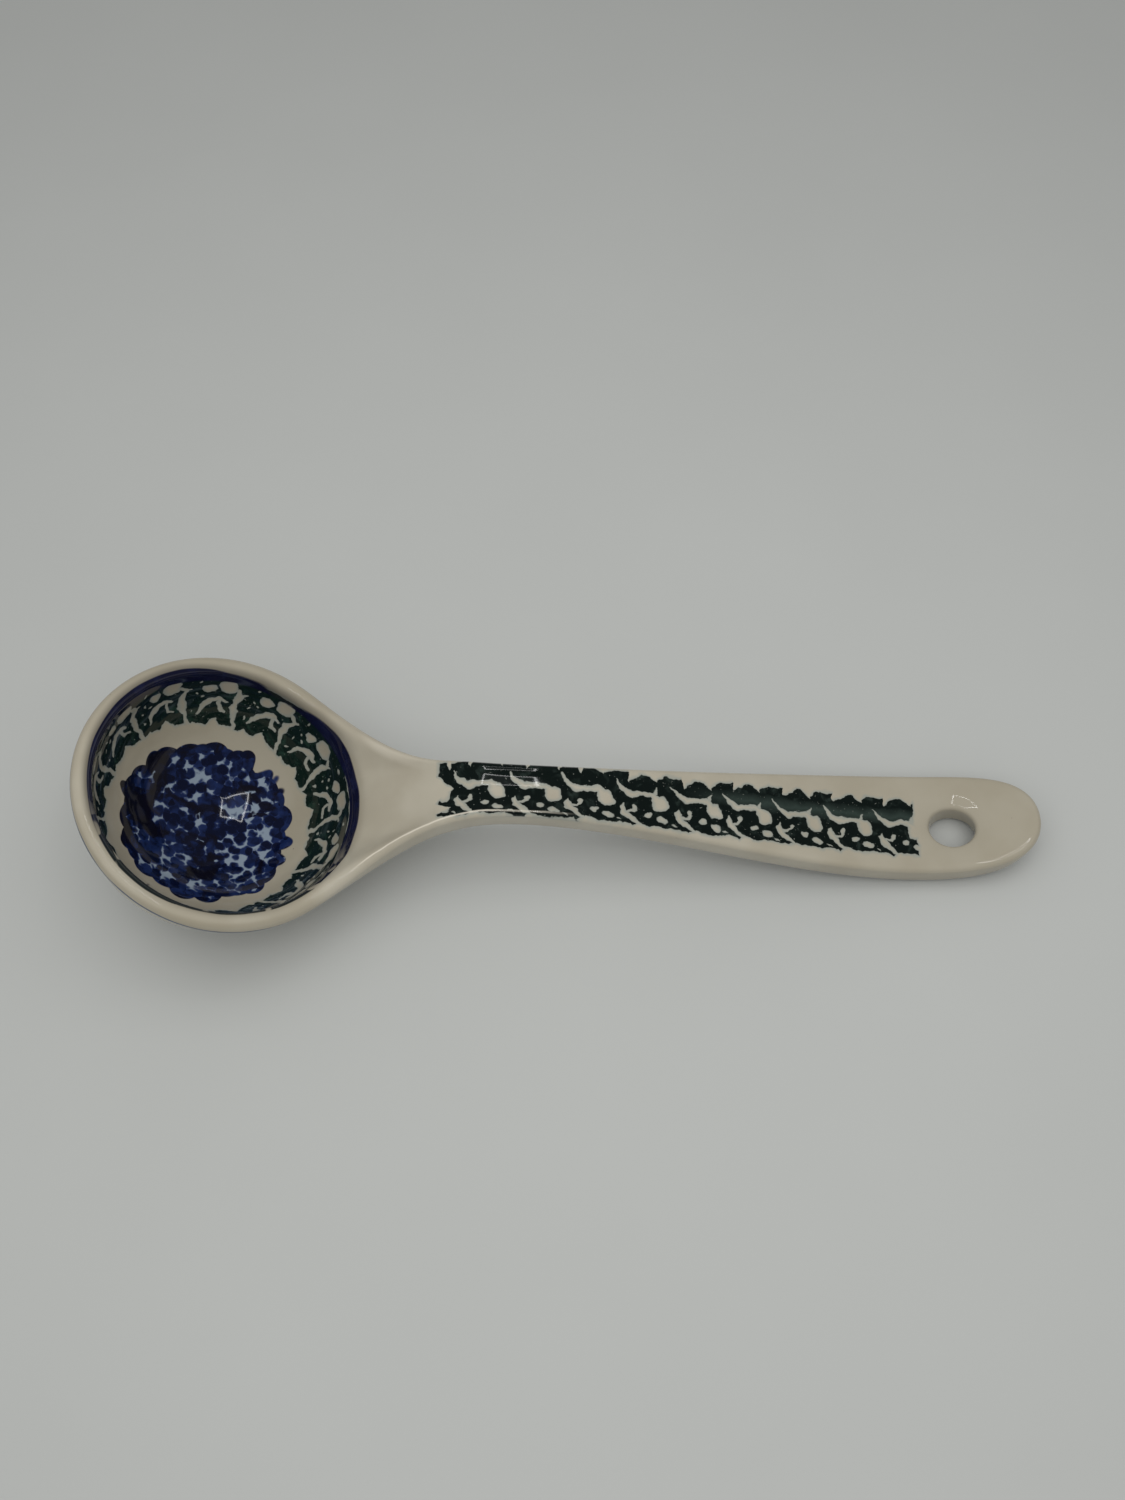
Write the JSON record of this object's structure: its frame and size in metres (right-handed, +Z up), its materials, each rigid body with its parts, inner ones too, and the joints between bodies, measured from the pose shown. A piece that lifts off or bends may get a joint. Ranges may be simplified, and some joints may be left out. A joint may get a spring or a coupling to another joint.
{
  "type": "ceramic soup ladle",
  "caption": "Glazed stoneware ladle with a deep round bowl, arched flat handle with a hanging hole, and sponged borders.",
  "frame": {"origin": "middle of the flat under the bowl, on the table", "axes": "+X along the handle towards its end, +Y across the bowl, +Z up"},
  "size_m": [0.2262, 0.0676, 0.0478],
  "materials": {
    "glaze": "clear gloss glaze on cream stoneware",
    "slip": "cream slip under clear glaze",
    "navy": "dark blue line under clear glaze",
    "green": "blackish green sponged colour under clear glaze",
    "cobalt": "mottled cobalt sponged colour under clear glaze"
  },
  "bodies": {
    "root": {"bowl": "glaze", "luting_slip": "slip", "handle": "glaze", "rim_line": "navy", "bowl_border": "green", "bowl_medallion": "cobalt", "handle_border": "green"}
  },
  "joints": []
}
